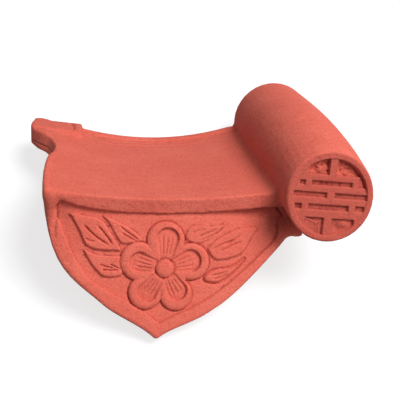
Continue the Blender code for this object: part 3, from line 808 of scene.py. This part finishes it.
def apron_choice(points):
    """The skin points on the front of the apron."""
    places = on_sheet(points, APRON_ORIGIN, APRON_UP, APRON_OUT)
    near = (places[:, 2] > APRON_NEAR[0]) & (places[:, 2] < APRON_NEAR[1])
    lip_low = APRON_ORIGIN[2] + lip_line(points[:, 0]) * math.cos(APRON_TILT)
    near &= points[:, 2] < lip_low - UNDER_LIP
    near &= np.hypot(points[:, 0] - DISC_ORIGIN[0], points[:, 2] - DRUM_MIDDLE_Z) > DRUM_CLEAR
    chosen = np.flatnonzero(near)
    places = places[chosen, :2]
    deep = edge_distance(places, OUTLINE) < INSIDE_EDGE
    corner = (places[:, 0] < CORNER_RIGHT) & (places[:, 1] > CORNER_LOW - CORNER_SLANT * places[:, 0])
    return chosen[deep & ~corner]


def disc_choice(points):
    """The skin points on the face of the roundel."""
    places = on_sheet(points, DISC_ORIGIN, DISC_UP, DISC_OUT)
    near = np.abs(places[:, 2] + DISC_SUNK) < DISC_NEAR
    return np.flatnonzero(near & (np.hypot(*places[:, :2].T) < DISC_REACH))


print("chosen:", len(apron_choice(points)), "on the apron,", len(disc_choice(points)), "on the roundel")

# %% [markdown]
# The photo shows a few marks: a seam along the lug's wall, a wedge-shaped dent where the lug
# ends, a crescent chip beside it, a crease across the roll, and the faint double line of the rear
# rib. Each is given by its depth, its half width and a line in space, and is cut into the skin
# along the skin's own normals. The marks on the pan take their height from the skin.

# %% Marks
SEAM_BELOW = 12.0
MARKS = [
    (2.0, 1.7, [(26.2, 178.6, 16.6), (26.7, 174, 16.5), (27.0, 165, 16.3)]),
    (1.5, 1.2, [(27.4, 176, 16.5), (27.8, 164, 16.2), (27.6, 153, 15.2)]),
    (0.5, 0.8, [(13, 179, 17.9), (13, 174.5, 17.9)]),
    (1.3, 0.9, [(39.5, 172, 11), (42, 167.4, 10.2), (45.5, 166.6, 9.6), (49, 168.8, 9)]),
    (0.75, 1.1, [(216, 57.9, 50.1), (224, 50.5, 56.4), (234.4, 47.6, 61.4), (249.5, 52.7, 64.3)]),
    (0.3, 1.4, [(236, 47.6, 62), (250, 58, 66), (262, 66, 65)]),
]
RIB_LINE = [(46.4, 159.3), (51.3, 153.5), (64.8, 150.7), (78.3, 151.7), (92.5, 154.7), (106.1, 154.9),
            (133.9, 156.0), (161.7, 153.7), (190, 152.4)]
RIB_SECOND = [(60, 161.5), (80, 162.8), (100, 163.4), (130, 163.6), (160, 162.4), (192, 160.5)]
PAN_MARKS = 4
SKIN_REACH = 1.2


def on_skin(stops):
    """The same stops with the height of the skin's top there."""
    lifted = []
    for x, y, *_ in stops:
        near = np.hypot(points[:, 0] - x, points[:, 1] - y) < SKIN_REACH
        lifted.append((x, y, points[near, 2].max()))
    return lifted


for k, (depth, half_width, stops) in enumerate(MARKS[:PAN_MARKS]):
    MARKS[k] = (depth, half_width, on_skin(stops))
MARKS.append((1.5, 0.9, on_skin(RIB_LINE)))
MARKS.append((0.6, 1.1, on_skin(RIB_SECOND)))
SEAM_STOPS = np.linspace(4.1, 7.1, 9)
wall = along_line(curve(LUG_CURVE), SEAM_STOPS / (len(LUG_CURVE) - 1))
wall_before = along_line(LUG_STRAIGHT, SEAM_STOPS / (len(LUG_CURVE) - 1))
seam_share = 1 - (1 - LUG_FOOT_SHARE) * SEAM_BELOW / LUG_THICKNESS
wall = wall_before + seam_share * (wall - wall_before)
MARKS.append((0.95, 0.8, [(x, y, pan_height(x, y) - SEAM_BELOW) for x, y in wall]))


def near_marks(points, reach):
    """The skin points near any of the marks."""
    near = np.zeros(len(points), bool)
    for _, _, stops in MARKS:
        line = np.array(stops, float)
        box = ((points > line.min(0) - reach) & (points < line.max(0) + reach)).all(1)
        some = np.flatnonzero(box)
        near[some] |= distance(points[some], line)[0] < reach
    return np.flatnonzero(near)


print(len(MARKS), "marks near", len(near_marks(points, 3)), "points")

# %% [markdown]
# An edge is cut in two where both of its ends are chosen, so each square between chosen points
# becomes four.

# %% Finer squares where the relief is
MARK_REACH = 3.2

skin = bmesh.new()
skin.from_mesh(tile.data)
skin.verts.ensure_lookup_table()
chosen = set(apron_choice(points).tolist()) | set(disc_choice(points).tolist())
chosen |= set(near_marks(points, MARK_REACH).tolist())
fine = [e for e in skin.edges if e.verts[0].index in chosen and e.verts[1].index in chosen]
bmesh.ops.subdivide_edges(skin, edges=fine, cuts=1, use_grid_fill=True)
bmesh.ops.triangulate(skin, faces=[f for f in skin.faces if len(f.verts) > 4])
skin.to_mesh(tile.data)
skin.free()
points = points_of(tile.data)
edges = edges_of(tile.data)
print("skin with finer squares:", len(points), "points")

# %% [markdown]
# The points of a sheet are rubbed smooth where they are, written in the sheet's own axes, and
# given their new height. A narrow band along the apron's edge is rubbed afterwards, so that no
# step shows where the relief begins.

# %% Lifting the relief
FLATTEN_SHARE = 0.6
FLATTEN_TIMES = 14
RIM_BLEND = 10
BAND_DEEP = 3
BAND_TOP = 12
BAND_HIGHEST = -16
BAND_INNER = (-5.5, -4)
BAND_OUTER = (-0.5, 1)

for choose, origin, up, out, height in (
        (apron_choice, APRON_ORIGIN, APRON_UP, APRON_OUT, apron_height),
        (disc_choice, DISC_ORIGIN, DISC_UP, DISC_OUT, disc_height)):
    picked = choose(points)
    share = np.zeros(len(points))
    share[picked] = FLATTEN_SHARE
    points = rubbed(points, edges, share, FLATTEN_TIMES)
    places = on_sheet(points[picked], origin, up, out)
    places[:, 2] = height(places[:, :2])
    points[picked] = off_sheet(places, origin, up, out)
    print(len(picked), "points, heights", places[:, 2].min().round(2), "to", places[:, 2].max().round(2))
places = on_sheet(points, APRON_ORIGIN, APRON_UP, APRON_OUT)
band = (np.abs(places[:, 2]) < BAND_DEEP) & (places[:, 1] < BAND_TOP) & (points[:, 2] < BAND_HIGHEST)
band = np.flatnonzero(band)
from_edge = edge_distance(places[band, :2], OUTLINE)
share = np.zeros(len(points))
share[band] = RUB_SHARE * step(*BAND_INNER, from_edge) * (1 - step(*BAND_OUTER, from_edge))
points = rubbed(points, edges, share, RIM_BLEND)
set_points(tile.data, points)

# %% [markdown]
# A mark is deepest on its line and runs out at both ends.

# %% Cutting the marks
BOX_REACH = 6
MARK_START = 0.12
MARK_END = 0.85


def normals_of(mesh):
    """The direction that the surface faces at each point."""
    flat = np.empty(3 * len(mesh.vertices))
    mesh.vertices.foreach_get("normal", flat)
    return flat.reshape(-1, 3)


normals = normals_of(tile.data)
for depth, half_width, stops in MARKS:
    line = curve(stops)
    box = ((points > line.min(0) - BOX_REACH) & (points < line.max(0) + BOX_REACH)).all(1)
    some = np.flatnonzero(box)
    away, along = distance(points[some], line)
    cut = depth * np.exp(-(away / half_width) ** 2) * step(0, MARK_START, along)
    cut = cut * (1 - step(MARK_END, 1, along))
    points[some] -= cut[:, None] * normals[some]
set_points(tile.data, points)
print("marks cut")

# %% [markdown]
# The front of the lip looks rougher than the rest in the photo, as if it was cut and not pressed.
# Shallow lumps of a few millimetres, pushed along the face's own normals, give that.

# %% Rough front of the lip
LIP_GRAIN = 0.16
FRONT_DEEP = 3
FACING_FRONT = -0.75
FRONT_LOWEST = -14
FRONT_LEFT = 6
FRONT_RIGHT = 206

front = (np.abs(points[:, 1]) < FRONT_DEEP) & (normals[:, 1] < FACING_FRONT) & (points[:, 2] > FRONT_LOWEST)
front = np.flatnonzero(front & (points[:, 0] > FRONT_LEFT) & (points[:, 0] < FRONT_RIGHT))
flat = points[front][:, [0, 2]]
grain = roughness_field(flat, 2.6, 31) + 0.6 * roughness_field(flat + 9, 5.2, 32)
points[front] += LIP_GRAIN * grain[:, None] * normals[front]
set_points(tile.data, points)
print("lip's front:", len(front), "points")

# %% [markdown]
# The mesh is thinned before it is finished, because wide plain stretches of the pan need few
# triangles. Decimate keeps the most triangles where the surface bends the most, which is just
# where the relief is.

# %% Thinning
TRIANGLES = 190000
tile.data.calc_loop_triangles()
now = len(tile.data.loop_triangles)
with_modifier(tile, "TRIANGULATE")
with_modifier(tile, "DECIMATE", decimate_type="COLLAPSE", ratio=min(1.0, TRIANGLES / now))
tile.data.transform(to_ground)
tile.data.shade_smooth()
tile.data.calc_loop_triangles()
print("triangles:", now, "thinned to", len(tile.data.loop_triangles))

# %% [markdown]
# Grooves, the roundel's face and the corner beside the drum look deeper in colour, because less light gets
# there.
# Painted shade stands in for that: a deeper clay colour in the grooves and on the roundel's face, and a
# painted shadow in the corner. It is one number at each point, from 0 to 1. A groove is found by rubbing a
# copy of the
# mesh: where the copy rises above the surface, the surface is hollow.

# %% Painted shade in hollows
HOLLOW_FULL = 0.42
HOLLOW_SHADE_MOST = 0.80
ROUNDEL_PAINTED_SHADE = 0.36
HOLLOW_RUBS = 5
SHADOW_CORNER = (213, -6, -20)
CORNER_PAINTED_SHADOW = 0.55
HOLLOW_START = 0.04
HOLLOW_SHARE = 0.6
ROUNDEL_SHADE_EDGE = (41, 39)
ROUNDEL_SHADE_DEPTH = (-5.5, -4)
CORNER_SHADOW_FADE = (4, 19)

points = points_of(tile.data)
edges = edges_of(tile.data)
# Painted shade in grooves: the further the rubbed copy rises above the surface, the deeper the colour.
rise = ((rubbed(points, edges, HOLLOW_SHARE, HOLLOW_RUBS) - points) * normals_of(tile.data)).sum(1)
painted_shade = HOLLOW_SHADE_MOST * step(HOLLOW_START, HOLLOW_FULL, rise)
tile_points = (points * MM) @ np.array(to_tile.to_3x3()).T / MM + np.array(to_tile.translation) / MM
places = on_sheet(tile_points, DISC_ORIGIN, DISC_UP, DISC_OUT)
# Painted shade on the roundel's face, which gets less light than the apron.
roundel = step(*ROUNDEL_SHADE_EDGE, np.hypot(places[:, 0], places[:, 1])) * step(*ROUNDEL_SHADE_DEPTH, places[:, 2])
# Painted shadow in the deep corner between the apron's arm and the drum, which the drum shades.
corner = 1 - step(*CORNER_SHADOW_FADE, np.linalg.norm(tile_points - np.array(SHADOW_CORNER), axis=1))
painted_shade = painted_shade + ROUNDEL_PAINTED_SHADE * roundel * (1 - painted_shade)
painted_shade = painted_shade + CORNER_PAINTED_SHADOW * corner * (1 - roundel) * (1 - painted_shade)
# The hollow attribute carries all this painted shade and painted shadow to the clay's colour.
attribute = tile.data.attributes.new("hollow", "FLOAT", "POINT")
attribute.data.foreach_set("value", painted_shade)
print("points in hollows:", int((rise > HOLLOW_FULL / 2).sum()))

# %% [markdown]
# Shader maths is easier to read as ordinary sums. A small class wraps a socket, so that adding,
# subtracting or multiplying two values adds the matching Math node. Any other node comes from the
# method node.

# %% Values that build nodes


class Value:
    """A socket of a material's node tree, with ordinary arithmetic."""

    def __init__(self, tree, socket):
        self.tree = tree
        self.socket = socket

    def node(self, kind, settings=None, inputs=None, output=0):
        """A new node of a kind, with its settings and inputs. Stops are those of a colour ramp."""
        made = self.tree.nodes.new(kind)
        for key, value in (settings or {}).items():
            if key == "stops":
                while len(made.color_ramp.elements) < len(value):
                    made.color_ramp.elements.new(0.5)
                for element, (place, shade) in zip(made.color_ramp.elements, value):
                    element.position = place
                    element.color = (shade, shade, shade, 1)
            else:
                setattr(made, key, value)
        for key, value in (inputs or {}).items():
            if isinstance(value, Value):
                self.tree.links.new(value.socket, made.inputs[key])
            else:
                made.inputs[key].default_value = value
        return Value(self.tree, made.outputs[output])

    def maths(self, operation, a, b):
        return self.node("ShaderNodeMath", {"operation": operation}, {0: a, 1: b})

    def __add__(self, other):
        return self.maths("ADD", self, other)

    def __radd__(self, other):
        return self.maths("ADD", other, self)

    def __sub__(self, other):
        return self.maths("SUBTRACT", self, other)

    def __rsub__(self, other):
        return self.maths("SUBTRACT", other, self)

    def __mul__(self, other):
        return self.maths("MULTIPLY", self, other)

    def __rmul__(self, other):
        return self.maths("MULTIPLY", other, self)


print("arithmetic ready")

# %% [markdown]
# Fired clay of this kind is orange-red and has no glaze. Close up it shows a fine sand of slightly lighter
# and darker grains. Faint streaks run across the pan. The grooves, the roundel's face and the corner beside
# the drum get painted shade, a deeper clay colour. The surface scatters light evenly, so its roughness is
# high, and only a fine bump gives it the dry look. The same clay goes on the solid that the piece stands
# for.

# %% Clay
CLAY_COLOUR = (0.665, 0.122, 0.082)
CLAY_PALE = (0.790, 0.190, 0.135)
CLAY_DEEP = (0.470, 0.072, 0.048)
CLAY_PAINTED_SHADE = (0.190, 0.022, 0.018)
SAND_SCALE = 950
GRIT_SCALE = 420
PATCH_SCALE = 24
STREAK_SCALE = 34
STREAK_STRETCH = 9
LUMP_SCALE = 190
PATCHES_PALE = 0.30
SAND_PALE = 0.58
STREAKS_DEEP = 0.20
SAND_DEEP = 0.50
GRIT_DEEP = 0.45
SAND_HEIGHT = 0.00034
GRIT_HEIGHT = 0.00040
STREAK_HEIGHT = 0.00022
LUMP_HEIGHT = 0.00030
PATCH_RAMP = [(0.42, 0.0), (0.66, 1.0)]
SAND_PALE_RAMP = [(0.50, 0.0), (0.70, 1.0)]
STREAK_RAMP = [(0.34, 1.0), (0.50, 0.0)]
SAND_DEEP_RAMP = [(0.31, 1.0), (0.48, 0.0)]
GRIT_RAMP = [(0.31, 1.0), (0.45, 0.0)]
NOISE_ROUGHNESS = 0.6
LEAST_ROUGH = 0.86
ROUGH_SPREAD = 0.10
SPECULAR = 0.22

clay = bpy.data.materials.new("fired_clay")
clay.use_nodes = True
tree = clay.node_tree
shader = tree.nodes["Principled BSDF"]
where = Value(tree, tree.nodes.new("ShaderNodeTexCoord").outputs["Object"])
turned = where.node("ShaderNodeMapping", {"vector_type": "TEXTURE"},
                    {"Vector": where, "Rotation": (PITCH, LEAN, 0)})
stretched = where.node("ShaderNodeMapping", {},
                       {"Vector": turned, "Scale": (1, STREAK_STRETCH, STREAK_STRETCH)})


def noise(vector, scale, detail, distortion=0.0):
    """Smooth random values, from 0 to 1."""
    return where.node("ShaderNodeTexNoise", {"noise_dimensions": "3D"},
                      {"Vector": vector, "Scale": scale, "Detail": detail, "Roughness": NOISE_ROUGHNESS,
                       "Distortion": distortion})


def ramp(value, stops):
    """A value sent through a ramp of grey shades."""
    return where.node("ShaderNodeValToRGB", {"stops": stops}, {"Fac": value})


sand = noise(where, SAND_SCALE, 2)
grit = noise(where, GRIT_SCALE, 3)
patches = noise(where, PATCH_SCALE, 5)
streaks = noise(stretched, STREAK_SCALE, 6, 0.2)
# The hollow attribute holds painted shade for grooves and the roundel's face, and a painted shadow for the
# corner beside the drum.
hollow = where.node("ShaderNodeAttribute", {"attribute_name": "hollow", "attribute_type": "GEOMETRY"},
                    {}, output=2)


def mix(a, b, factor):
    """Colour a where the factor is 0 and colour b where it is 1."""
    return where.node("ShaderNodeMix", {"data_type": "RGBA"},
                      {"Factor": factor, 6: (*a, 1) if isinstance(a, tuple) else a,
                       7: (*b, 1) if isinstance(b, tuple) else b}, output=2)


pale_share = ramp(patches, PATCH_RAMP) * PATCHES_PALE
pale_share = pale_share + ramp(sand, SAND_PALE_RAMP) * SAND_PALE
deep_share = ramp(streaks, STREAK_RAMP) * STREAKS_DEEP
deep_share = deep_share + ramp(sand, SAND_DEEP_RAMP) * SAND_DEEP
deep_share = deep_share + ramp(grit, GRIT_RAMP) * GRIT_DEEP
colour = mix(mix(CLAY_COLOUR, CLAY_PALE, pale_share), CLAY_DEEP, deep_share)
# Painted shade: the clay turns towards a deep colour where the hollow attribute says so.
colour = mix(colour, CLAY_PAINTED_SHADE, hollow)
tree.links.new(colour.socket, shader.inputs["Base Color"])
tree.links.new((LEAST_ROUGH + ROUGH_SPREAD * patches).socket, shader.inputs["Roughness"])
shader.inputs["Specular IOR Level"].default_value = SPECULAR

grain_height = sand * SAND_HEIGHT + grit * GRIT_HEIGHT + streaks * STREAK_HEIGHT
grain_height = grain_height + noise(where, LUMP_SCALE, 3) * LUMP_HEIGHT
bump = where.node("ShaderNodeBump", {}, {"Strength": 1.0, "Distance": 1.0, "Height": grain_height})
tree.links.new(bump.socket, shader.inputs["Normal"])

tile.data.materials.clear()
tile.data.materials.append(clay)
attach(tile, "root")
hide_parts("tile")
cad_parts["tile"].data.materials.clear()
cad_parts["tile"].data.materials.append(clay)
print("clay nodes:", len(tree.nodes))

# %% [markdown]
# The photo shows a white floor, soft shadows and shaded left sides. One soft lamp high on the
# right, a weak one at the right front and a little light from all round give that. A lamp has to
# be large for soft shadows and far away for even light. The floor glows a little, so it stays
# white and its shadows are light, and it throws no light up at the clay, whose shaded sides stay
# deep. The picture keeps its colours as they are, without a film look.

# %% Floor and light
KEY_DIRECTION = Vector((0.40, -0.08, 0.89)).normalized()
KEY_DISTANCE = 2.5
KEY_SIZE = 1.4
KEY_POWER = 64
FILL_DIRECTION = Vector((0.58, -0.62, 0.53)).normalized()
FILL_SIZE = 1.6
FILL_POWER = 13
SKY_COLOUR = (0.96, 0.98, 1.0, 1)
SKY_STRENGTH = 0.26
PAPER_GLOW = 0.72
PAPER_SHADE = 0.32
PAPER_ROUGHNESS = 0.9
FLOOR_HALF = 3.0

floor_mesh = bpy.data.meshes.new("floor")
floor_corners = [(x * FLOOR_HALF, y * FLOOR_HALF, 0) for x, y in ((-1, -1), (1, -1), (1, 1), (-1, 1))]
floor_mesh.from_pydata(floor_corners, [], [(0, 1, 2, 3)])
floor = bpy.data.objects.new("floor", floor_mesh)
bpy.context.scene.collection.objects.link(floor)
paper = bpy.data.materials.new("paper")
paper.use_nodes = True
paper_shader = paper.node_tree.nodes["Principled BSDF"]
paper_shader.inputs["Base Color"].default_value = (PAPER_SHADE, PAPER_SHADE, PAPER_SHADE, 1)
paper_shader.inputs["Roughness"].default_value = PAPER_ROUGHNESS
paper_shader.inputs["Emission Color"].default_value = (1, 1, 1, 1)
paper_shader.inputs["Emission Strength"].default_value = PAPER_GLOW
floor_mesh.materials.append(paper)
floor.visible_diffuse = False


def lamp(name, direction, size, power):
    """A round lamp that faces the middle of the tile from a direction."""
    light = bpy.data.lights.new(name, "AREA")
    light.shape = "DISK"
    light.size = size
    light.energy = power
    stand = bpy.data.objects.new(name, light)
    bpy.context.scene.collection.objects.link(stand)
    turn = direction.to_track_quat("Z", "Y").to_matrix().to_4x4()
    stand.matrix_world = Matrix.Translation(direction * KEY_DISTANCE) @ turn


lamp("key", KEY_DIRECTION, KEY_SIZE, KEY_POWER)
lamp("fill", FILL_DIRECTION, FILL_SIZE, FILL_POWER)

sky = bpy.data.worlds.new("sky")
sky.use_nodes = True
background = sky.node_tree.nodes["Background"]
background.inputs["Color"].default_value = SKY_COLOUR
background.inputs["Strength"].default_value = SKY_STRENGTH
bpy.context.scene.world = sky
bpy.context.scene.view_settings.view_transform = "Standard"
print("key lamp stands", round(math.degrees(math.asin(KEY_DIRECTION.z))), "degrees above the floor")
